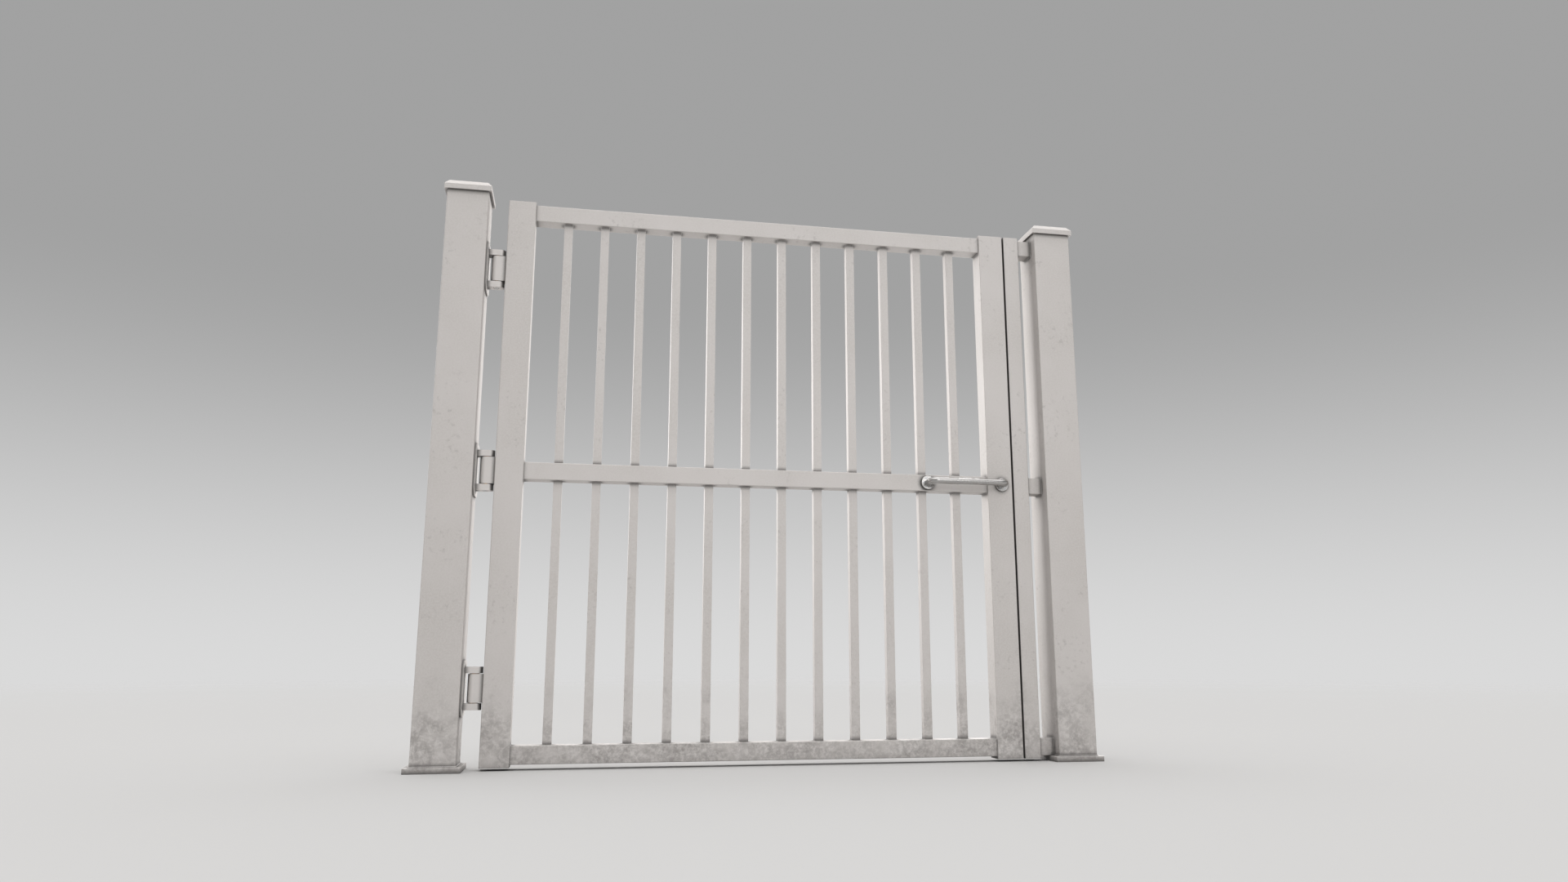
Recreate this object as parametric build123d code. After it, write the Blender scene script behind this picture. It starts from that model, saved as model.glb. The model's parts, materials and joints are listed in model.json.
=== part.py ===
from build123d import *
import math
import os

# A livestock panel gate: a hinged leaf of vertical square bars between two square posts.
# Origin: centre of the hinge post's foot, on the ground. +X runs along the gate towards the
# latch post, +Y away from the handle side and +Z up. Millimetres. The centre plane of every
# tube is Y = 0.

# ---- driving dimensions ----
POST_SIZE = 120.0
POST_WALL = 5.0
POST_CORNER = 3.0
POST_TOP = 1659.0
PLATE_THICK = 15.0
PLATE_OVERHANG = 15.0
PLATE_CHAMFER = 1.0
ANCHOR_SPACING = 64.0
ANCHOR_HOLE_R = 7.0
CAP_OVERHANG = 8.0
CAP_BAND = 15.0
CAP_BEVEL = 15.0
CAP_BEVEL_INSET = 13.0
CAP_SKIN = 3.0
CAP_PLUG_DEPTH = 22.0
CAP_EDGE_RADIUS = 1.5

HINGE_GAP = 57.0
PIN_OFFSET = 31.0
STILE_WIDTH = 80.0
STILE_DEPTH = 60.0
STILE_WALL = 3.0
STILE_CORNER = 2.5
STILE_BOTTOM = 7.0
STILE_TOP = 1650.0
END_PLATE = 3.0

RAIL_SIZE = 50.0
RAIL_WALL = 3.0
RAIL_CORNER = 2.0
RAIL_INSET = 8.0

BAR_SIZE = 25.0
BAR_WALL = 2.0
BAR_CORNER = 1.2
BAR_COUNT = 12
BAR_GAP = 85.0

LATCH_GAP = 5.0
KEEP_WIDTH = 50.0
SPACER_LENGTH = 45.0

HINGE_SPREAD = 610.0
BRACKET_THICK = 5.0
BRACKET_WIDTH = 96.0
BRACKET_HEIGHT = 152.0
BRACKET_CORNER = 24.0
LUG_THICK = 18.0
LUG_GAP = 81.0
LUG_RADIUS = 15.0
LUG_NOSE_OFFSET = 7.5
BLOCK_NOSE_OFFSET = 2.5
PIN_R = 8.0
PIN_CHAMFER = 0.8
BUSH_BORE_R = 8.05
BUSH_R = 10.0
BUSH_LENGTH = 20.0
BUSH_FLANGE_R = 13.5
BUSH_FLANGE = 1.5
BLOCK_CLEARANCE = 0.3
BRACKET_SCREW_R = 4.0
BRACKET_SCREW_HEAD_R = 8.0
BRACKET_SCREW_LENGTH = 18.0
BRACKET_SCREW_Y = 33.0
BRACKET_SCREW_Z = 50.0

HANDLE_SPAN = 240.0
HANDLE_FOOT_INSET = 45.0
HANDLE_TUBE_R = 10.0
HANDLE_TUBE_WALL = 2.0
HANDLE_STANDOFF = 45.0
HANDLE_BEND = 20.0
ROSE_R = 21.0
ROSE_THICK = 6.0
ROSE_EDGE_RADIUS = 1.5
ROSE_SCREW_COUNT = 6
ROSE_SCREW_CIRCLE_R = 14.3
ROSE_SCREW_R = 1.75
ROSE_SCREW_HEAD_R = 3.3
ROSE_SCREW_LENGTH = 13.0

BALL_R = 6.3
BALL_PROUD = 4.2
BARREL_R = 9.0
BARREL_LENGTH = 42.0
BARREL_BORE_R = 6.4
BARREL_FLANGE = 1.2
BARREL_FLANGE_R = 13.0
BARREL_BACK = 3.0
STEM_R = 3.0
STEM_LENGTH = 16.0
SPRING_R = 4.6
SPRING_WIRE_R = 0.5
SPRING_TURNS = 6
SPRING_SHORTFALL = 0.6
STRIKE_THICK = 1.5
STRIKE_HEIGHT = 60.0
STRIKE_WIDTH = 30.0
STRIKE_CORNER = 4.0
STRIKE_HOLE_R = 3.6
STRIKE_SCREW_Z = 20.0
STRIKE_SCREW_R = 2.5
STRIKE_SCREW_HEAD_R = 4.0
STRIKE_SCREW_LENGTH = 9.0

SOCKET_SHARE = 0.72  # a screw's hexagon socket, across its corners, as a share of its shank

# ---- places worked out from them ----
HALF_POST = POST_SIZE / 2
PIN_X = HALF_POST + PIN_OFFSET
HINGE_STILE_X = HALF_POST + HINGE_GAP
RAIL_START = HINGE_STILE_X + STILE_WIDTH
RAIL_LENGTH = BAR_COUNT * BAR_SIZE + (BAR_COUNT + 1) * BAR_GAP
LOCK_STILE_X = RAIL_START + RAIL_LENGTH
LOCK_EDGE_X = LOCK_STILE_X + STILE_WIDTH
KEEP_X = LOCK_EDGE_X + LATCH_GAP
SPACER_X = KEEP_X + KEEP_WIDTH
LATCH_POST_X = SPACER_X + SPACER_LENGTH
LATCH_POST_CENTRE = LATCH_POST_X + HALF_POST
MID_Z = (STILE_BOTTOM + STILE_TOP) / 2
BOTTOM_RAIL_Z = STILE_BOTTOM + RAIL_INSET
MID_RAIL_Z = MID_Z - RAIL_SIZE / 2
TOP_RAIL_Z = STILE_TOP - RAIL_INSET - RAIL_SIZE
FRONT_Y = -STILE_DEPTH / 2
RAIL_FRONT_Y = -RAIL_SIZE / 2
HEIGHT_NAMES = ("top", "middle", "bottom")
HINGE_HEIGHTS = (MID_Z + HINGE_SPREAD, MID_Z, MID_Z - HINGE_SPREAD)
RAIL_HEIGHTS = (TOP_RAIL_Z, MID_RAIL_Z, BOTTOM_RAIL_Z)

os.makedirs("parts", exist_ok=True)


def save(solid, name):
    """Write one node as parts/NAME.step."""
    export_step(solid, os.path.join("parts", name + ".step"))


def group(pieces):
    """Join separate solids into one node without fusing them."""
    return Compound(children=list(pieces))


def upright_tube(width, depth, wall, corner, low, high, centre_x):
    """A rectangular hollow section standing along Z."""
    with BuildPart() as tube:
        with BuildSketch(Plane.XY.offset(low)):
            with Locations((centre_x, 0)):
                RectangleRounded(width, depth, corner)
                Rectangle(width - 2 * wall, depth - 2 * wall, mode=Mode.SUBTRACT)
        extrude(amount=high - low)
    return tube.part


def level_tube(size, wall, corner, start_x, length, low):
    """A square hollow section lying along X, its underside at height low."""
    with BuildPart() as tube:
        with BuildSketch(Plane(origin=(start_x, 0, low + size / 2), x_dir=(0, 1, 0), z_dir=(1, 0, 0))):
            RectangleRounded(size, size, corner)
            Rectangle(size - 2 * wall, size - 2 * wall, mode=Mode.SUBTRACT)
        extrude(amount=length)
    return tube.part


def cylinder_along(radius, length, start, direction):
    """A plain cylinder from the point start, along direction."""
    return extrude(Plane(origin=start, z_dir=direction) * Circle(radius), amount=length)


def screw_outline(radius, head_radius, length):
    """A countersunk screw's envelope, its flat head at the origin and its shank along +Z."""
    corners = [
        (0, 0),
        (head_radius, 0),
        (radius, head_radius - radius),
        (radius, length),
        (0, length),
    ]
    with BuildPart() as body:
        with BuildSketch(Plane.XZ):
            with BuildLine():
                Polyline(*corners, close=True)
            make_face()
        revolve(axis=Axis.Z)
    return body.part


def countersunk_screw(head, direction, radius, head_radius, length):
    """A countersunk screw with a hexagon socket. head is the centre of its flat face."""
    socket = extrude(Plane.XY * RegularPolygon(radius * SOCKET_SHARE, 6), amount=head_radius - radius)
    screw = screw_outline(radius, head_radius, length) - socket
    return Plane(origin=head, z_dir=direction) * screw


def screw_hole(head, direction, radius, head_radius, length):
    """The solid that clears a countersunk screw."""
    return Plane(origin=head, z_dir=direction) * screw_outline(radius, head_radius, length)


def end_plates(width, depth, wall, low, high, centre_x):
    """Two plates let into the ends of an upright tube, flush with them."""
    plate = Box(width - 2 * wall, depth - 2 * wall, END_PLATE)
    middles = (low + END_PLATE / 2, high - END_PLATE / 2)
    return group(Pos(centre_x, 0, middle) * plate for middle in middles)


# ---- posts ----
def bracket_screw_heads(height):
    """Centres of the four screw heads on one hinge bracket."""
    return [
        (HALF_POST + BRACKET_THICK, side_y * BRACKET_SCREW_Y, height + side_z * BRACKET_SCREW_Z)
        for side_y in (-1, 1)
        for side_z in (-1, 1)
    ]


def bracket_screw_clearance(height):
    """The screw holes of one bracket, through its plate and the post's wall."""
    return [
        screw_hole(head, (-1, 0, 0), BRACKET_SCREW_R, BRACKET_SCREW_HEAD_R, BRACKET_SCREW_LENGTH)
        for head in bracket_screw_heads(height)
    ]


def post(centre_x):
    return upright_tube(POST_SIZE, POST_SIZE, POST_WALL, POST_CORNER, PLATE_THICK, POST_TOP, centre_x)


def base_plate(centre_x):
    """A square foot with four anchor holes inside the post's outline."""
    side = POST_SIZE + 2 * PLATE_OVERHANG
    with BuildPart() as plate:
        with BuildSketch():
            with Locations((centre_x, 0)):
                RectangleRounded(side, side, POST_CORNER)
                with GridLocations(ANCHOR_SPACING, ANCHOR_SPACING, 2, 2):
                    Circle(ANCHOR_HOLE_R, mode=Mode.SUBTRACT)
        extrude(amount=PLATE_THICK)
        chamfer(plate.faces().sort_by(Axis.Z)[-1].outer_wire().edges(), PLATE_CHAMFER)
    return plate.part


def post_cap(centre_x):
    """A cap with an upright band, a shallow bevelled top, and a hollow plug inside the post."""
    side = POST_SIZE + 2 * CAP_OVERHANG
    plug = POST_SIZE - 2 * POST_WALL
    with BuildPart() as cap:
        with Locations((centre_x, 0, POST_TOP)):
            Box(side, side, CAP_BAND, align=(Align.CENTER, Align.CENTER, Align.MIN))
        with BuildSketch(Plane.XY.offset(POST_TOP + CAP_BAND)):
            with Locations((centre_x, 0)):
                Rectangle(side, side)
        with BuildSketch(Plane.XY.offset(POST_TOP + CAP_BAND + CAP_BEVEL)):
            with Locations((centre_x, 0)):
                Rectangle(side - 2 * CAP_BEVEL_INSET, side - 2 * CAP_BEVEL_INSET)
        loft()
        fillet(cap.edges().filter_by(Axis.Z), CAP_EDGE_RADIUS)
        with BuildSketch(Plane.XY.offset(POST_TOP)):
            with Locations((centre_x, 0)):
                Rectangle(plug, plug)
        extrude(amount=-CAP_PLUG_DEPTH)
        with BuildSketch(Plane.XY.offset(POST_TOP - CAP_PLUG_DEPTH)):
            with Locations((centre_x, 0)):
                Rectangle(plug - 2 * CAP_SKIN, plug - 2 * CAP_SKIN)
        extrude(amount=CAP_PLUG_DEPTH + CAP_BAND, mode=Mode.SUBTRACT)
    return cap.part


hinge_post = post(0)
for hinge_height in HINGE_HEIGHTS:
    hinge_post -= bracket_screw_clearance(hinge_height)
save(hinge_post, "hinge_post")
save(post(LATCH_POST_CENTRE), "latch_post")
for post_name, post_x in (("hinge_post", 0), ("latch_post", LATCH_POST_CENTRE)):
    save(base_plate(post_x), post_name + "_base_plate")
    save(post_cap(post_x), post_name + "_cap")

# ---- keep post, which stands beside the lock stile ----
KEEP_CENTRE = KEEP_X + KEEP_WIDTH / 2
STRIKE_FACE_X = KEEP_X - STRIKE_THICK


def strike_screw_heads():
    return [(STRIKE_FACE_X, 0, MID_Z + side * STRIKE_SCREW_Z) for side in (-1, 1)]


def strike_screw_clearance():
    return [
        screw_hole(head, (1, 0, 0), STRIKE_SCREW_R, STRIKE_SCREW_HEAD_R, STRIKE_SCREW_LENGTH)
        for head in strike_screw_heads()
    ]


keep_post = upright_tube(
    KEEP_WIDTH, STILE_DEPTH, STILE_WALL, STILE_CORNER, STILE_BOTTOM, STILE_TOP, KEEP_CENTRE
)
keep_post -= strike_screw_clearance()
save(keep_post, "keep_post")
save(
    end_plates(KEEP_WIDTH, STILE_DEPTH, STILE_WALL, STILE_BOTTOM, STILE_TOP, KEEP_CENTRE),
    "keep_post_end_plates",
)
for spacer_name, spacer_low in zip(HEIGHT_NAMES, RAIL_HEIGHTS):
    save(
        level_tube(RAIL_SIZE, RAIL_WALL, RAIL_CORNER, SPACER_X, SPACER_LENGTH, spacer_low),
        "keep_spacer_" + spacer_name,
    )


def strike_plate():
    """A thin plate on the keep post with a round detent hole for the catch ball."""
    plane = Plane(origin=(KEEP_X, 0, MID_Z), x_dir=(0, 1, 0), z_dir=(-1, 0, 0))
    face = RectangleRounded(STRIKE_WIDTH, STRIKE_HEIGHT, STRIKE_CORNER)
    plate = extrude(plane * face, amount=STRIKE_THICK)
    plate -= cylinder_along(STRIKE_HOLE_R, STRIKE_THICK, (KEEP_X, 0, MID_Z), (-1, 0, 0))
    return plate - strike_screw_clearance()


save(strike_plate(), "strike_plate")
save(
    group(
        countersunk_screw(head, (1, 0, 0), STRIKE_SCREW_R, STRIKE_SCREW_HEAD_R, STRIKE_SCREW_LENGTH)
        for head in strike_screw_heads()
    ),
    "strike_screws",
)


# ---- hinges ----
PIN_LENGTH = LUG_GAP + 2 * LUG_THICK
BLOCK_HEIGHT = LUG_GAP - 2 * (BLOCK_CLEARANCE + BUSH_FLANGE)


def nose_outline(plane, from_x, centre_x):
    """A flat tongue from from_x to a half-round nose centred at centre_x."""
    middle = (from_x + centre_x) / 2
    straight = plane * Pos(middle, 0) * Rectangle(abs(from_x - centre_x), 2 * LUG_RADIUS)
    return straight + plane * Pos(centre_x, 0) * Circle(LUG_RADIUS)


def hinge_bracket(height):
    """The post's half of a hinge: a round-cornered plate with two bored lugs."""
    plane = Plane(origin=(HALF_POST, 0, height), x_dir=(0, 1, 0), z_dir=(1, 0, 0))
    face = RectangleRounded(BRACKET_WIDTH, BRACKET_HEIGHT, BRACKET_CORNER)
    bracket = extrude(plane * face, amount=BRACKET_THICK)
    for lug_low in (height + LUG_GAP / 2, height - LUG_GAP / 2 - LUG_THICK):
        outline = nose_outline(Plane.XY.offset(lug_low), HALF_POST, PIN_X + LUG_NOSE_OFFSET)
        bracket += extrude(outline, amount=LUG_THICK)
    bracket -= cylinder_along(PIN_R, PIN_LENGTH, (PIN_X, 0, height - PIN_LENGTH / 2), (0, 0, 1))
    return bracket - bracket_screw_clearance(height)


def hinge_pin(height):
    """A plain pin pressed into the lugs, flush with their outer faces."""
    pin = cylinder_along(PIN_R, PIN_LENGTH, (PIN_X, 0, height - PIN_LENGTH / 2), (0, 0, 1))
    return chamfer(pin.edges().filter_by(GeomType.CIRCLE), PIN_CHAMFER)


def hinge_knuckle(height):
    """The leaf's half of a hinge: a round-nosed block bored for two bushes."""
    low = height - BLOCK_HEIGHT / 2
    outline = nose_outline(Plane.XY.offset(low), HINGE_STILE_X, PIN_X - BLOCK_NOSE_OFFSET)
    block = extrude(outline, amount=BLOCK_HEIGHT)
    return block - cylinder_along(BUSH_R, BLOCK_HEIGHT, (PIN_X, 0, low), (0, 0, 1))


def hinge_bushes(height):
    """Two flanged bushes, one in each end of the knuckle."""
    bushes = []
    for side in (1, -1):
        face = height + side * BLOCK_HEIGHT / 2
        barrel = cylinder_along(BUSH_R, BUSH_LENGTH, (PIN_X, 0, face), (0, 0, -side))
        flange = cylinder_along(BUSH_FLANGE_R, BUSH_FLANGE, (PIN_X, 0, face), (0, 0, side))
        bore = cylinder_along(
            BUSH_BORE_R, BUSH_LENGTH + BUSH_FLANGE, (PIN_X, 0, face + side * BUSH_FLANGE), (0, 0, -side)
        )
        bushes.append(barrel + flange - bore)
    return group(bushes)


for hinge_name, hinge_height in zip(HEIGHT_NAMES, HINGE_HEIGHTS):
    save(hinge_bracket(hinge_height), "hinge_bracket_" + hinge_name)
    save(hinge_pin(hinge_height), "hinge_pin_" + hinge_name)
    save(hinge_knuckle(hinge_height), "hinge_knuckle_" + hinge_name)
    save(hinge_bushes(hinge_height), "hinge_bushes_" + hinge_name)
    save(
        group(
            countersunk_screw(
                head, (-1, 0, 0), BRACKET_SCREW_R, BRACKET_SCREW_HEAD_R, BRACKET_SCREW_LENGTH
            )
            for head in bracket_screw_heads(hinge_height)
        ),
        "hinge_screws_" + hinge_name,
    )

# ---- pull handle ----
HANDLE_STILE_X = LOCK_STILE_X + HANDLE_FOOT_INSET
HANDLE_RAIL_X = HANDLE_STILE_X - HANDLE_SPAN
HANDLE_AXIS_Y = FRONT_Y - HANDLE_STANDOFF
PACKER_THICK = RAIL_FRONT_Y - FRONT_Y


def rose_screw_heads(centre_x):
    """Centres of the screw heads, evenly spaced on a circle round the handle's foot."""
    turns = [math.tau * number / ROSE_SCREW_COUNT for number in range(ROSE_SCREW_COUNT)]
    return [
        (
            centre_x + ROSE_SCREW_CIRCLE_R * math.cos(turn),
            FRONT_Y - ROSE_THICK,
            MID_Z + ROSE_SCREW_CIRCLE_R * math.sin(turn),
        )
        for turn in turns
    ]


def rose_screw_clearance(centre_x, extra=0.0):
    return [
        screw_hole(head, (0, 1, 0), ROSE_SCREW_R, ROSE_SCREW_HEAD_R, ROSE_SCREW_LENGTH + extra)
        for head in rose_screw_heads(centre_x)
    ]


def rose(centre_x):
    """A round foot with a rounded rim, bored for the end of the handle's tube."""
    disc = cylinder_along(ROSE_R, ROSE_THICK, (centre_x, FRONT_Y, MID_Z), (0, -1, 0))
    disc = fillet(disc.edges().filter_by(GeomType.CIRCLE).sort_by(Axis.Y)[0], ROSE_EDGE_RADIUS)
    disc -= cylinder_along(HANDLE_TUBE_R, ROSE_THICK, (centre_x, FRONT_Y, MID_Z), (0, -1, 0))
    return disc - rose_screw_clearance(centre_x)


def pull_handle():
    """A round tube bent twice, with its ends let through the roses."""
    with BuildPart() as handle:
        with BuildLine():
            FilletPolyline(
                (HANDLE_RAIL_X, FRONT_Y, MID_Z),
                (HANDLE_RAIL_X, HANDLE_AXIS_Y, MID_Z),
                (HANDLE_STILE_X, HANDLE_AXIS_Y, MID_Z),
                (HANDLE_STILE_X, FRONT_Y, MID_Z),
                radius=HANDLE_BEND,
            )
        with BuildSketch(Plane(origin=(HANDLE_RAIL_X, FRONT_Y, MID_Z), z_dir=(0, -1, 0))):
            Circle(HANDLE_TUBE_R)
            Circle(HANDLE_TUBE_R - HANDLE_TUBE_WALL, mode=Mode.SUBTRACT)
        sweep()
    return handle.part


save(pull_handle(), "pull_handle")
save(rose(HANDLE_RAIL_X), "handle_rose_rail")
save(rose(HANDLE_STILE_X), "handle_rose_stile")
packer = cylinder_along(ROSE_R, PACKER_THICK, (HANDLE_RAIL_X, FRONT_Y, MID_Z), (0, 1, 0))
save(packer - rose_screw_clearance(HANDLE_RAIL_X, PACKER_THICK), "handle_packer")
handle_screws = []
for foot_x, extra in ((HANDLE_RAIL_X, PACKER_THICK), (HANDLE_STILE_X, 0.0)):
    length = ROSE_SCREW_LENGTH + extra
    for head in rose_screw_heads(foot_x):
        screw = countersunk_screw(head, (0, 1, 0), ROSE_SCREW_R, ROSE_SCREW_HEAD_R, length)
        handle_screws.append(screw)
save(group(handle_screws), "handle_screws")


# ---- ball catch in the lock stile's edge ----
BALL_X = LOCK_EDGE_X + BALL_PROUD - BALL_R
BARREL_END_X = LOCK_EDGE_X - BARREL_LENGTH


def catch_barrel():
    """A flanged barrel with a closed back, bored for the ball and its spring."""
    barrel = cylinder_along(BARREL_R, BARREL_LENGTH, (LOCK_EDGE_X, 0, MID_Z), (-1, 0, 0))
    barrel += cylinder_along(BARREL_FLANGE_R, BARREL_FLANGE, (LOCK_EDGE_X, 0, MID_Z), (1, 0, 0))
    bore_length = BARREL_LENGTH + BARREL_FLANGE - BARREL_BACK
    return barrel - cylinder_along(
        BARREL_BORE_R, bore_length, (LOCK_EDGE_X + BARREL_FLANGE, 0, MID_Z), (-1, 0, 0)
    )


def catch_ball():
    """The catch's ball, with the short stem that guides its spring."""
    ball = Pos(BALL_X, 0, MID_Z) * Sphere(BALL_R)
    return ball + cylinder_along(STEM_R, STEM_LENGTH, (BALL_X, 0, MID_Z), (-1, 0, 0))


def catch_spring():
    """A coil spring from the barrel's back to the shoulder behind the ball."""
    start_x = BARREL_END_X + BARREL_BACK + SPRING_WIRE_R
    shoulder = math.sqrt(BALL_R**2 - (SPRING_R + SPRING_WIRE_R) ** 2)
    end_x = BALL_X - shoulder - 2 * SPRING_WIRE_R - SPRING_SHORTFALL
    plane = Plane(origin=(start_x, 0, MID_Z), x_dir=(0, 1, 0), z_dir=(1, 0, 0))
    length = end_x - start_x
    coil = plane * Helix(pitch=length / SPRING_TURNS, height=length, radius=SPRING_R)
    section = Plane(origin=coil @ 0, z_dir=coil % 0) * Circle(SPRING_WIRE_R)
    return sweep(section, path=coil, is_frenet=True)


save(catch_barrel(), "catch_barrel")
save(catch_ball(), "catch_ball")
save(catch_spring(), "catch_spring")


# ---- leaf ----
HINGE_STILE_CENTRE = HINGE_STILE_X + STILE_WIDTH / 2
LOCK_STILE_CENTRE = LOCK_STILE_X + STILE_WIDTH / 2


def stile(centre_x):
    return upright_tube(
        STILE_WIDTH, STILE_DEPTH, STILE_WALL, STILE_CORNER, STILE_BOTTOM, STILE_TOP, centre_x
    )


save(stile(HINGE_STILE_CENTRE), "hinge_stile")
lock_stile = stile(LOCK_STILE_CENTRE)
lock_stile -= cylinder_along(BARREL_R, BARREL_LENGTH, (LOCK_EDGE_X, 0, MID_Z), (-1, 0, 0))
lock_stile -= rose_screw_clearance(HANDLE_STILE_X)
save(lock_stile, "lock_stile")
for stile_name, stile_x in (("hinge_stile", HINGE_STILE_CENTRE), ("lock_stile", LOCK_STILE_CENTRE)):
    save(
        end_plates(STILE_WIDTH, STILE_DEPTH, STILE_WALL, STILE_BOTTOM, STILE_TOP, stile_x),
        stile_name + "_end_plates",
    )

BAR_CENTRES = [
    RAIL_START + BAR_GAP + BAR_SIZE / 2 + index * (BAR_SIZE + BAR_GAP)
    for index in range(BAR_COUNT)
]


def rail(low):
    return level_tube(RAIL_SIZE, RAIL_WALL, RAIL_CORNER, RAIL_START, RAIL_LENGTH, low)


save(rail(TOP_RAIL_Z), "top_rail")
save(rail(BOTTOM_RAIL_Z), "bottom_rail")
mid_rail = rail(MID_RAIL_Z)
bar_hole = extrude(
    Plane.XY.offset(MID_RAIL_Z) * RectangleRounded(BAR_SIZE, BAR_SIZE, BAR_CORNER), amount=RAIL_SIZE
)
mid_rail -= [Pos(bar_x, 0, 0) * bar_hole for bar_x in BAR_CENTRES]
mid_rail -= rose_screw_clearance(HANDLE_RAIL_X, PACKER_THICK)
save(mid_rail, "mid_rail")
for number, bar_x in enumerate(BAR_CENTRES, start=1):
    bar = upright_tube(
        BAR_SIZE, BAR_SIZE, BAR_WALL, BAR_CORNER, BOTTOM_RAIL_Z + RAIL_SIZE, TOP_RAIL_Z, bar_x
    )
    save(bar, f"bar_{number:02d}")
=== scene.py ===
import json
import math

import bmesh
import bpy
from mathutils import Euler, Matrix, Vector


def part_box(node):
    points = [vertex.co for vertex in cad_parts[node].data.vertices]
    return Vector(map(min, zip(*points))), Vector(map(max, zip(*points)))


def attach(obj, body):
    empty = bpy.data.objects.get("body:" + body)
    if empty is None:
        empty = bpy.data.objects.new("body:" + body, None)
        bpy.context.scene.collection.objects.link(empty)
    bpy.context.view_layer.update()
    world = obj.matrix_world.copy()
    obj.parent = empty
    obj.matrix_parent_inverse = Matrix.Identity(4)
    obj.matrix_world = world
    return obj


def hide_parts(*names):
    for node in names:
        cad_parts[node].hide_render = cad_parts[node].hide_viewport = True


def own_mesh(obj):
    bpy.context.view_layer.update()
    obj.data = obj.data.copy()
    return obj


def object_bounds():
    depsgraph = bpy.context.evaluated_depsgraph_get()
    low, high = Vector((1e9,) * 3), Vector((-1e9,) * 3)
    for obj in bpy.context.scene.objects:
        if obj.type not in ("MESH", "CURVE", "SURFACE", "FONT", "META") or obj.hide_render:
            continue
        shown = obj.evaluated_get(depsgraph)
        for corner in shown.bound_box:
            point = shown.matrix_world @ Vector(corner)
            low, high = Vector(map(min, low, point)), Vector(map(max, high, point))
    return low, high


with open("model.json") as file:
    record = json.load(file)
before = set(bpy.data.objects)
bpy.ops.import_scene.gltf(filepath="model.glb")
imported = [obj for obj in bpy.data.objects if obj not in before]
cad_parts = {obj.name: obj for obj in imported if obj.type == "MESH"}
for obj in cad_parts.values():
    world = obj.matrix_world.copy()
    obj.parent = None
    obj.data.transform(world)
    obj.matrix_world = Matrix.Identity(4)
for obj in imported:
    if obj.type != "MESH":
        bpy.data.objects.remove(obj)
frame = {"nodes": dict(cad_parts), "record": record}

nodes = frame["nodes"]
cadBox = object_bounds()
print("frame loaded,", len(nodes), "CAD nodes")


def mm(value):  # millimetres to Blender's metres
    return value / 1000.0


def linearOf(hexColour):  # an sRGB hex colour as the linear colour a node wants
    channels = [int(hexColour[start:start + 2], 16) / 255.0 for start in (1, 3, 5)]
    linear = [c / 12.92 if c <= 0.04045 else ((c + 0.055) / 1.055) ** 2.4 for c in channels]
    return linear + [1.0]


def addNode(tree, kind, inputs=None, out=None, **settings):
    # One node with its settings, its values and its links; out picks the socket that is handed back.
    node = tree.nodes.new(kind)
    for name, value in settings.items():
        setattr(node, name, value)
    for name, value in (inputs or {}).items():
        if isinstance(value, bpy.types.NodeSocket):
            tree.links.new(value, node.inputs[name])
        else:
            node.inputs[name].default_value = value
    return node if out is None else node.outputs[out]


def newMaterial(name):  # an empty material with its shader, and the place on the gate in metres
    material = bpy.data.materials.new(name)
    material.use_nodes = True
    tree = material.node_tree
    tree.nodes.clear()
    shader = addNode(tree, "ShaderNodeBsdfPrincipled")
    addNode(tree, "ShaderNodeOutputMaterial", {"Surface": shader.outputs["BSDF"]})
    position = addNode(tree, "ShaderNodeTexCoord", out="Object")
    return material, tree, shader, position


def masksOf(tree, position, plans):
    # Cloudy masks. A plan is the grain's size in mm, its detail, roughness and swirl, where in the
    # noise the mask starts and is full, and its full strength.
    masks = {}
    for name, (sizeMm, detail, roughness, swirl, start, full, strength) in plans.items():
        noise = addNode(tree, "ShaderNodeTexNoise", {
            "Vector": position, "Scale": 1.0 / mm(sizeMm), "Detail": detail,
            "Roughness": roughness, "Distortion": swirl}, out="Fac")
        masks[name] = addNode(tree, "ShaderNodeMapRange", {
            "Value": noise, "From Min": start, "From Max": full, "To Max": strength},
            out="Result", interpolation_type="SMOOTHSTEP")
    return masks


def layered(tree, colour, layers):  # lays each tone over the last one by its mask
    for mask, tone in layers:
        over = linearOf(tone) if isinstance(tone, str) else tone
        colour = addNode(
            tree, "ShaderNodeMix", {0: mask, 6: colour, 7: over}, out=2, data_type="RGBA")
    return colour


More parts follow.
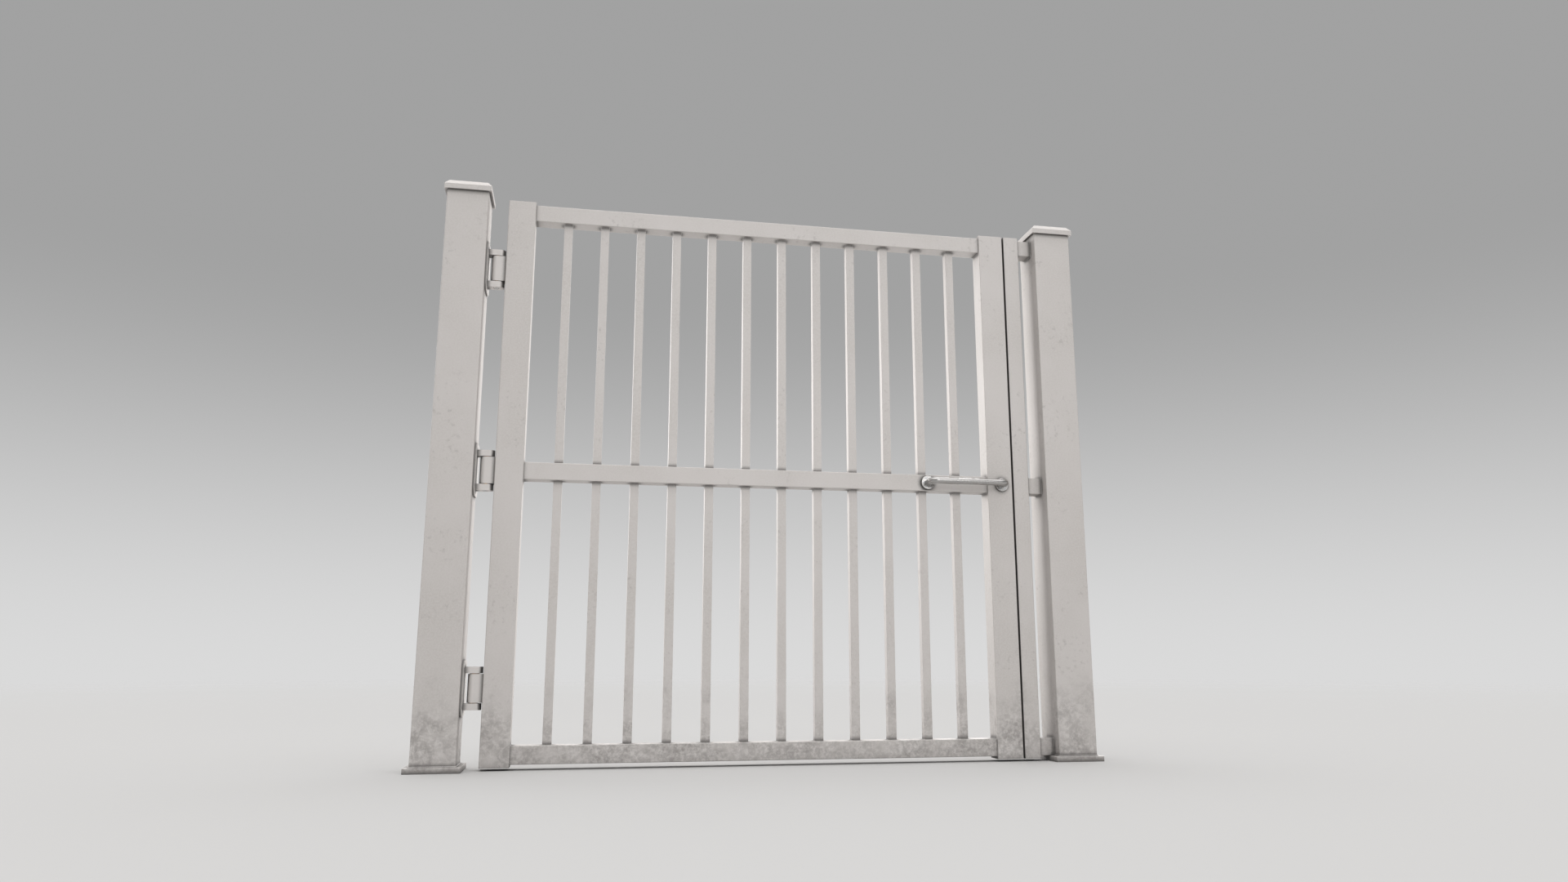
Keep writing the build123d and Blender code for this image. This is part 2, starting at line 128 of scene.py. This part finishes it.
zinc = {
    "dullTone": "#c3beba",      # dulled zinc
    "paleTone": "#cbc6c3",      # fresh zinc, slightly warm
    "bloomTone": "#d0ccc9",     # white bloom and dried splash
    "spotTone": "#a9a4a1",      # small grey spots
    "dampTone": "#95908d",      # damp grey near the ground
    "paintedCornerShadeTone": "#8a8582",    # painted shade: grey laid in corners and round joints
    "paintedJointShadeTone": "#5c5a58",     # and painted shade: the dark line in the joint itself
    "paintedLightTone": "#ebe7e4",     # painted light: a pale tone laid over the finish to lift parts that sit in shade
    "metallic": 0.3,
    "splashMetallic": 0.135,    # under dried splash
    "roughness": 0.5,
    "dullRoughness": 0.7,       # under dried splash and on the dullest crystals
    "masks": {
        "clouds": (300.0, 5.0, 0.6, 0.0, 0.35, 0.68, 1.0),    # broad change of tone along a tube
        "spangle": (5.0, 4.0, 0.66, 0.0, 0.36, 0.66, 0.75),   # zinc crystals, only just seen
        "spots": (14.0, 6.0, 0.62, 0.0, 0.54, 0.72, 0.55),    # single grey spots
        "spotPlaces": (180.0, 2.0, 0.5, 0.0, 0.5, 0.62, 1.0), # and where they gather
        "ragged": (95.0, 6.0, 0.62, 0.0, 0.0, 1.0, 0.4),      # breaks up the splash's edge, in metres
        "patches": (45.0, 5.0, 0.62, 0.2, 0.36, 0.66, 0.44),  # one cloud of splash
        "streaks": (13.0, 6.0, 0.72, 0.35, 0.4, 0.64, 0.68),  # pale streaks inside it
        "grain": (2.2, 3.0, 0.5, 0.0, 0.0, 1.0, 0.25),        # orange peel of the coat
    },
    "splashTop": 0.46,          # metres above the ground where splash marks begin
    "splashFull": 0.13,         # and where they cover the surface, before the edge is broken up
    "splashShare": 0.92,
    "corners": (60.0, 0.25, 0.88),   # painted corner shade: reach in mm, and how open a place is where the grey is full
    "joints": (14.0, 0.6, 0.97),     # painted shade in the joint itself; and where the grey ends
    "paintedJointShadeShare": 0.85,
    "openRays": 8,              # rays that feel how open a place is
    "tubePaintedCornerShade": 0.7,         # strength of the painted corner shade on tubes and plates
    "hingePaintedCornerShade": 0.12,       # and on the hinge forgings, kept weak so that they stay lighter
    "tubePaintedLight": 0.0,       # how much of the pale painted-light tone shows on tubes and plates
    "hingePaintedLight": 0.55,     # and on the hinge forgings, painted light that lifts them in their shaded recess
    "bumpStrength": 0.12,
    "bumpMm": 0.5,
}


def galvanisedSteel(name, paintedCornerShadeShare, paintedLight):
    # Hot-dip galvanised steel gives the eye a pale, warm grey that is soft rather than mirror-like,
    # with faint clouds, a few grey spots, and a mottled white and grey bloom near the ground.
    material, tree, shader, position = newMaterial(name)
    masks = masksOf(tree, position, zinc["masks"])
    spots = addNode(tree, "ShaderNodeMath", {
        0: masks["spots"], 1: masks["spotPlaces"]}, out=0, operation="MULTIPLY")
    coat = layered(tree, linearOf(zinc["dullTone"]), (
        (masks["clouds"], zinc["paleTone"]),
        (masks["spangle"], zinc["bloomTone"]),
        (spots, zinc["spotTone"])))

    # Dried splash is thick near the ground and broken up higher.
    height = addNode(tree, "ShaderNodeSeparateXYZ", {"Vector": position}, out="Z")
    edge = addNode(tree, "ShaderNodeMath", {
        0: height, 1: masks["ragged"]}, out=0, operation="ADD")
    splash = addNode(tree, "ShaderNodeMapRange", {
        "Value": edge, "From Min": zinc["splashFull"], "From Max": zinc["splashTop"],
        "To Min": zinc["splashShare"], "To Max": 0.0}, out="Result", interpolation_type="SMOOTHSTEP")
    mottle = addNode(tree, "ShaderNodeMath", {
        0: masks["patches"], 1: masks["streaks"]}, out=0, operation="ADD")
    grime = layered(tree, linearOf(zinc["dampTone"]), ((mottle, zinc["bloomTone"]),))

    # Painted shade: soft grey laid near other pieces by how open each place is, and a dark line right
    # in the joint.
    paintedShade = []
    for (reachMm, deep, clear), share in (
            (zinc["corners"], paintedCornerShadeShare), (zinc["joints"], zinc["paintedJointShadeShare"])):
        openness = addNode(tree, "ShaderNodeAmbientOcclusion", {
            "Distance": mm(reachMm)}, out="AO", samples=zinc["openRays"])
        paintedShade.append(addNode(tree, "ShaderNodeMapRange", {
            "Value": openness, "From Min": deep, "From Max": clear,
            "To Min": share, "To Max": 0.0}, out="Result"))
    # Over the coat and splash: the pale painted-light tone, then the painted corner and joint shade.
    colour = layered(tree, coat, (
        (splash, grime), (paintedLight, zinc["paintedLightTone"]),
        (paintedShade[0], zinc["paintedCornerShadeTone"]), (paintedShade[1], zinc["paintedJointShadeTone"])))

    dullness = addNode(tree, "ShaderNodeMath", {
        0: splash, 1: masks["spangle"]}, out=0, operation="ADD")
    metal = addNode(tree, "ShaderNodeMapRange", {
        "Value": splash, "To Min": zinc["metallic"], "To Max": zinc["splashMetallic"]}, out="Result")
    rough = addNode(tree, "ShaderNodeMapRange", {
        "Value": dullness, "To Min": zinc["roughness"], "To Max": zinc["dullRoughness"]}, out="Result")
    splashRelief = addNode(tree, "ShaderNodeMath", {
        0: mottle, 1: splash}, out=0, operation="MULTIPLY")
    relief = addNode(tree, "ShaderNodeMath", {
        0: masks["grain"], 1: splashRelief}, out=0, operation="ADD")
    bump = addNode(tree, "ShaderNodeBump", {
        "Height": relief, "Strength": zinc["bumpStrength"],
        "Distance": mm(zinc["bumpMm"])}, out="Normal")
    for socket, value in (
            ("Base Color", colour), ("Metallic", metal), ("Roughness", rough), ("Normal", bump)):
        tree.links.new(value, shader.inputs[socket])
    return material


stainless = {
    "tone": "#b2b0ae",
    "smearTone": "#9b9997",
    "roughness": 0.2,
    "smearRoughness": 0.5,
    "brushRun": 40.0,    # how many times longer than wide a brush line is
    "brush": {"lines": (0.9, 2.0, 0.5, 0.0, 0.3, 0.7, 0.08)},   # coarser than real, so that it shows
    "masks": {"smears": (30.0, 4.0, 0.6, 0.0, 0.42, 0.72, 0.35)},
    "bumpStrength": 0.15,
    "bumpMm": 0.2,
}


def satinStainless():
    # Brushed stainless steel gives a long clean highlight along a tube, with faint lines and smears.
    material, tree, shader, position = newMaterial("satinStainlessSteel")
    run = 1.0 / stainless["brushRun"]
    lengthwise = addNode(tree, "ShaderNodeMapping", {
        "Vector": position, "Scale": (run, run, 1.0)}, out="Vector")
    lines = masksOf(tree, lengthwise, stainless["brush"])["lines"]
    smears = masksOf(tree, position, stainless["masks"])["smears"]
    colour = layered(tree, linearOf(stainless["tone"]), ((smears, stainless["smearTone"]),))
    unevenness = addNode(tree, "ShaderNodeMath", {0: lines, 1: smears}, out=0, operation="ADD")
    rough = addNode(tree, "ShaderNodeMapRange", {
        "Value": unevenness, "To Min": stainless["roughness"],
        "To Max": stainless["smearRoughness"]}, out="Result")
    bump = addNode(tree, "ShaderNodeBump", {
        "Height": lines, "Strength": stainless["bumpStrength"],
        "Distance": mm(stainless["bumpMm"])}, out="Normal")
    shader.inputs["Metallic"].default_value = 1.0
    for socket, value in (("Base Color", colour), ("Roughness", rough), ("Normal", bump)):
        tree.links.new(value, shader.inputs[socket])
    return material


wornMetals = {
    # Machined bronze bushes show as a thin warm line between lug and knuckle, dulled by grease.
    "bearingBronze": {
        "tone": "#b08a56", "wornTone": "#7d6240", "roughness": 0.34, "wornRoughness": 0.54,
        "masks": {"wear": (7.0, 5.0, 0.6, 0.0, 0.38, 0.66, 1.0)}},
    # Bright zinc plating is a little bluer and shinier than the dipped tubes, rubbed darker by keys.
    "brightZincPlating": {
        "tone": "#bdbec0", "wornTone": "#8c8b89", "roughness": 0.3, "wornRoughness": 0.48,
        "masks": {"wear": (3.0, 4.0, 0.6, 0.0, 0.45, 0.7, 1.0)}},
}


def wornMetal(name):
    material, tree, shader, position = newMaterial(name)
    plan = wornMetals[name]
    wear = masksOf(tree, position, plan["masks"])["wear"]
    colour = layered(tree, linearOf(plan["tone"]), ((wear, plan["wornTone"]),))
    rough = addNode(tree, "ShaderNodeMapRange", {
        "Value": wear, "To Min": plan["roughness"], "To Max": plan["wornRoughness"]}, out="Result")
    shader.inputs["Metallic"].default_value = 1.0
    for socket, value in (("Base Color", colour), ("Roughness", rough)):
        tree.links.new(value, shader.inputs[socket])
    return material


finishes = {
    "galvanised_steel": galvanisedSteel(
        "hotDipGalvanisedTube", zinc["tubePaintedCornerShade"], zinc["tubePaintedLight"]),
    "stainless_steel": satinStainless(),
    "bronze": wornMetal("bearingBronze"),
    "zinc_plated_screw": wornMetal("brightZincPlating"),
}
# The forgings' copy of the finish carries painted light: little painted corner shade and much of the
# pale tone.
hingeFinish = galvanisedSteel(
    "hotDipGalvanisedForging", zinc["hingePaintedCornerShade"], zinc["hingePaintedLight"])
slotOf = {row["node"]: row["material_slot"] for row in frame["record"]["subparts"]}
for nodeName, node in nodes.items():
    node.data.materials.clear()
    forged = nodeName.startswith(("hinge_bracket", "hinge_knuckle"))
    node.data.materials.append(hingeFinish if forged else finishes[slotOf[nodeName]])
print("finishes given to", len(nodes), "nodes")


weld = {
    "barLegMm": 1.8,       # width of a bead on each of the two faces it joins
    "railLegMm": 2.0,
    "blockLegMm": 2.6,
    "postLegMm": 4.2,
    "sinkMm": 0.5,         # how far the bead reaches into the steel, so that no gap shows
    "rippleMm": 3.4,       # one pulse of the torch
    "rippleShare": 0.10,   # how much a ripple changes the bead's size
    "stepsPerRipple": 4,
    "crown": ((0.92, 0.14), (0.6, 0.5), (0.22, 0.84)),   # its curve, off the tube and up it, in legs
    "cornerSteps": 3,      # fewest steps round a tube's corner
}
cornerMm = {"bar": 1.2, "rail": 2.0, "post": 3.0, "block": 0.6}   # corner radius under each bead


def roundedLoop(halfWide, halfTall, corner, step):
    # Points and outward normals round a rectangle with rounded corners.
    loop = []
    sides = ((1, -1, 0), (1, 1, 90), (-1, 1, 180), (-1, -1, 270))
    flatWide, flatTall = halfWide - corner, halfTall - corner
    for index, (signWide, signTall, turn) in enumerate(sides):
        centre = Vector((signWide * flatWide, signTall * flatTall))
        arcSteps = max(weld["cornerSteps"], round(corner * math.pi / 2 / step))
        for k in range(arcSteps + 1):
            angle = math.radians(turn - 90 + 90 * k / arcSteps)
            normal = Vector((math.cos(angle), math.sin(angle)))
            loop.append((centre + normal * corner, normal))
        run = 2 * (flatTall if index % 2 == 0 else flatWide)
        runSteps = max(1, round(run / step))
        normal = loop[-1][1]
        along = Vector((-normal.y, normal.x))
        start = loop[-1][0]
        for k in range(1, runSteps):
            loop.append((start + along * run * k / runSteps, normal))
    return loop


def beadInto(mesh, centre, wide, tall, rise, halfWide, halfTall, corner, leg):
    # One closed ring of weld round a tube: wide and tall span the face it meets, rise points off it.
    step = mm(weld["rippleMm"]) / weld["stepsPerRipple"]
    loop = roundedLoop(halfWide, halfTall, corner, step)
    sink = mm(weld["sinkMm"])
    profile = ((-sink, -sink), (1.0, -sink), *weld["crown"], (-sink, 1.0))
    rings = []
    for index, (point, normal) in enumerate(loop):
        pulse = (index % weld["stepsPerRipple"]) / (weld["stepsPerRipple"] - 1)
        size = leg * (1 - weld["rippleShare"] * pulse)
        outward = wide * normal.x + tall * normal.y
        base = centre + wide * point.x + tall * point.y
        ring = []
        for off, up in profile:
            offBy = off if off < 0 else off * size
            upBy = up if up < 0 else up * size
            ring.append(mesh.verts.new(base + outward * offBy + rise * upBy))
        rings.append(ring)
    for index, ring in enumerate(rings):
        following = rings[(index + 1) % len(rings)]
        for k in range(len(profile)):
            nextK = (k + 1) % len(profile)
            mesh.faces.new((ring[k], following[k], following[nextK], ring[nextK]))


def pieceFrom(mesh, name, body, slotName):  # a finished piece that rides on a body
    bmesh.ops.recalc_face_normals(mesh, faces=mesh.faces)
    data = bpy.data.meshes.new(name)
    mesh.to_mesh(data)
    mesh.free()
    for face in data.polygons:
        face.use_smooth = True
    piece = bpy.data.objects.new(name, data)
    bpy.context.scene.collection.objects.link(piece)
    data.materials.append(finishes[slotName])
    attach(piece, body)
    return piece


def weldPiece(name, body, beads):  # several beads as one piece
    mesh = bmesh.new()
    for bead in beads:
        beadInto(mesh, *bead)
    pieceFrom(mesh, name, body, "galvanised_steel")


axisX, axisY, axisZ = Vector((1, 0, 0)), Vector((0, 1, 0)), Vector((0, 0, 1))


def endBead(nodeName, axis, side, corner, leg):
    # The bead at one end of a straight tube node, lying on the tube and the face that it meets.
    low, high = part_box(nodeName)
    centre, half = (low + high) / 2, (high - low) / 2
    if axis == "X":
        wide, tall, along = axisY, axisZ, axisX
        sizes = (half.y, half.z)
        reach = half.x
    else:
        wide, tall, along = axisX, axisY, axisZ
        sizes = (half.x, half.y)
        reach = half.z
    return (centre + along * reach * side, wide, tall, -along * side, sizes[0], sizes[1], corner, leg)


barNames = sorted(name for name in nodes if name.startswith("bar_"))
railNames = ("top_rail", "mid_rail", "bottom_rail")
levels = ("top", "middle", "bottom")

barBeads = []
midLow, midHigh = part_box("mid_rail")
barCorner, barLeg = mm(cornerMm["bar"]), mm(weld["barLegMm"])
for barName in barNames:
    for side in (-1, 1):
        barBeads.append(endBead(barName, "Z", side, barCorner, barLeg))
    low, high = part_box(barName)
    centre, half = (low + high) / 2, (high - low) / 2
    for level, rise in ((midHigh.z, axisZ), (midLow.z, -axisZ)):   # where it passes the mid rail
        middle = Vector((centre.x, centre.y, level))
        barBeads.append((middle, axisX, axisY, rise, half.x, half.y, barCorner, barLeg))
weldPiece("bar_welds", "leaf", barBeads)

railCorner, railLeg = mm(cornerMm["rail"]), mm(weld["railLegMm"])
railBeads = [endBead(name, "X", side, railCorner, railLeg) for name in railNames for side in (-1, 1)]
weldPiece("rail_welds", "leaf", railBeads)

spacerBeads = [endBead("keep_spacer_" + level, "X", side, railCorner, railLeg)
               for level in levels for side in (-1, 1)]
weldPiece("spacer_welds", "frame", spacerBeads)

postBeads = [endBead(name, "Z", -1, mm(cornerMm["post"]), mm(weld["postLegMm"]))
             for name in ("hinge_post", "latch_post")]
weldPiece("post_welds", "frame", postBeads)

knuckleBeads = [endBead("hinge_knuckle_" + level, "X", 1, mm(cornerMm["block"]), mm(weld["blockLegMm"]))
                for level in levels]
weldPiece("knuckle_welds", "leaf", knuckleBeads)
beadLists = (barBeads, railBeads, spacerBeads, postBeads, knuckleBeads)
print("welds laid:", sum(len(beads) for beads in beadLists))


spring = {
    "wireMm": 1.0,
    "turns": 6.0,
    "closedTurns": 1.0,       # turns that touch at each end
    "pointsPerTurn": 28,
    "wireSides": 10,
    "travelMm": 4.0,          # how far the ball is pushed in
}


def catchCoil():
    # A coil with closed ends, built in the catch spring's place.
    low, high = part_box("catch_spring")
    middle, wire = (low + high) / 2, mm(spring["wireMm"]) / 2
    turnRadius = (high.z - low.z) / 2 - wire
    length = high.x - low.x - 2 * wire
    closedRise = 2 * wire * spring["closedTurns"]
    allTurns = spring["turns"] + 2 * spring["closedTurns"]
    openPitch = (length - 2 * closedRise) / spring["turns"]
    count = round(allTurns * spring["pointsPerTurn"])
    mesh = bmesh.new()
    rings = []
    for k in range(count + 1):
        turn = allTurns * k / count
        openTurns = min(max(turn - spring["closedTurns"], 0.0), spring["turns"])
        closedTurns = turn - openTurns
        along = low.x + wire + openTurns * openPitch + closedTurns * 2 * wire
        angle = 2 * math.pi * turn
        outward = Vector((0, math.cos(angle), math.sin(angle)))
        centre = Vector((along, middle.y, middle.z)) + outward * turnRadius
        ring = []
        for side in range(spring["wireSides"]):
            turnRound = 2 * math.pi * side / spring["wireSides"]
            offset = outward * math.cos(turnRound) + axisX * math.sin(turnRound)
            ring.append(mesh.verts.new(centre + offset * wire))
        rings.append(ring)
    for ring, following in zip(rings, rings[1:]):
        for side in range(len(ring)):
            nextSide = (side + 1) % len(ring)
            mesh.faces.new((ring[side], following[side], following[nextSide], ring[nextSide]))
    mesh.faces.new(rings[0])
    mesh.faces.new(rings[-1])
    coil = pieceFrom(mesh, "catch_coil", "leaf", "stainless_steel")
    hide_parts("catch_spring")
    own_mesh(coil)


catchCoil()
print("catch spring coiled")


studio = {
    "sweepTone": "#ffffff",
    # Each band: sine of the elevation where it starts and ends, and its light at each.
    "bands": ((-0.02, 0.34, 0.70, 0.36),   # pale horizon to grey wall
              (0.55, 0.95, 0.0, 1.94)),    # a large soft box overhead
    "floorTone": "#c7c6c5",
    "floorRadius": 24.0,     # metres
    "floorSides": 96,
    "floorDropMm": 0.3,      # below the base plates, so that the two faces don't flicker
    "fadeFrom": 3.5,         # metres from the middle where the floor starts to fade into the sweep
    "fadeTo": 14.0,          # and where it is gone
}


def studioWorld():
    world = bpy.data.worlds.new("studioWorld")
    world.use_nodes = True
    tree = world.node_tree
    tree.nodes.clear()
    direction = addNode(tree, "ShaderNodeTexCoord", out="Generated")
    rise = addNode(tree, "ShaderNodeSeparateXYZ", {"Vector": direction}, out="Z")
    glow = []
    for start, full, low, high in studio["bands"]:
        glow.append(addNode(tree, "ShaderNodeMapRange", {
            "Value": rise, "From Min": start, "From Max": full, "To Min": low, "To Max": high},
            out="Result", interpolation_type="SMOOTHSTEP"))
    strength = addNode(tree, "ShaderNodeMath", {0: glow[0], 1: glow[1]}, out=0, operation="ADD")
    light = addNode(tree, "ShaderNodeBackground", {
        "Color": linearOf(studio["sweepTone"]), "Strength": strength}, out="Background")
    addNode(tree, "ShaderNodeOutputWorld", {"Surface": light})
    bpy.context.scene.world = world


def studioFloor():
    mesh = bmesh.new()
    bmesh.ops.create_circle(
        mesh, cap_ends=True, radius=studio["floorRadius"], segments=studio["floorSides"])
    data = bpy.data.meshes.new("studioFloor")
    mesh.to_mesh(data)
    mesh.free()
    floor = bpy.data.objects.new("studioFloor", data)
    floor.location = (
        (cadBox[0].x + cadBox[1].x) / 2, 0, cadBox[0].z - mm(studio["floorDropMm"]))
    bpy.context.scene.collection.objects.link(floor)
    material = bpy.data.materials.new("paleFloor")
    material.use_nodes = True
    tree = material.node_tree
    tree.nodes.clear()
    position = addNode(tree, "ShaderNodeTexCoord", out="Object")
    distance = addNode(tree, "ShaderNodeVectorMath", {0: position}, out="Value", operation="LENGTH")
    fade = addNode(tree, "ShaderNodeMapRange", {
        "Value": distance, "From Min": studio["fadeFrom"], "From Max": studio["fadeTo"]},
        out="Result", interpolation_type="SMOOTHSTEP")
    plain = addNode(tree, "ShaderNodeBsdfDiffuse", {
        "Color": linearOf(studio["floorTone"])}, out="BSDF")
    clear = addNode(tree, "ShaderNodeBsdfTransparent", out="BSDF")
    surface = addNode(tree, "ShaderNodeMixShader", {
        0: fade, 1: plain, 2: clear}, out="Shader")
    addNode(tree, "ShaderNodeOutputMaterial", {"Surface": surface})
    data.materials.append(material)
    return floor


lamps = {  # place and aim in metres, size in metres, power in watts
    "keyLight": {"at": (2.4, -7.8, 3.4), "to": (0.9, 0.0, 0.8), "size": 3.6, "power": 130},
    "rimLeft": {"at": (-1.4, 2.6, 1.8), "to": (1.2, 0.0, 1.0), "size": 1.8, "power": 82},
    "rimRight": {"at": (3.3, 2.6, 1.8), "to": (0.6, 0.0, 1.0), "size": 1.8, "power": 82},
}


def addLamp(name, plan, floor):
    light = bpy.data.lights.new(name, "AREA")
    light.shape = "SQUARE"
    light.size = plan["size"]
    light.energy = plan["power"]
    lamp = bpy.data.objects.new(name, light)
    lamp.location = plan["at"]
    aim = Vector(plan["to"]) - Vector(plan["at"])
    lamp.rotation_euler = aim.to_track_quat("-Z", "Y").to_euler()
    lamp.visible_camera = False
    bpy.context.scene.collection.objects.link(lamp)
    flagged = bpy.data.collections.new(name + "Flag")   # keeps it off the floor, which stays even
    flagged.objects.link(floor)
    flagged.collection_objects[0].light_linking.link_state = "EXCLUDE"
    lamp.light_linking.receiver_collection = flagged


view = {
    "at": (0.3753, -3.1264, 0.3028),
    "turnRight": 10.647,     # degrees
    "tiltUp": 11.472,
    "lens": 24.448,          # mm
    "sensor": 36.0,
}


def addCamera():
    camera = bpy.data.cameras.new("mainCamera")
    camera.lens = view["lens"]
    camera.sensor_width = view["sensor"]
    eye = bpy.data.objects.new("mainCamera", camera)
    eye.location = view["at"]
    eye.rotation_euler = Euler(
        (math.radians(90 + view["tiltUp"]), 0, -math.radians(view["turnRight"])))
    bpy.context.scene.collection.objects.link(eye)
    bpy.context.scene.camera = eye


bpy.context.scene.view_settings.view_transform = "Standard"
studioWorld()
studioFloorPiece = studioFloor()
for lampName, plan in lamps.items():
    addLamp(lampName, plan, studioFloorPiece)
addCamera()
print("studio ready")
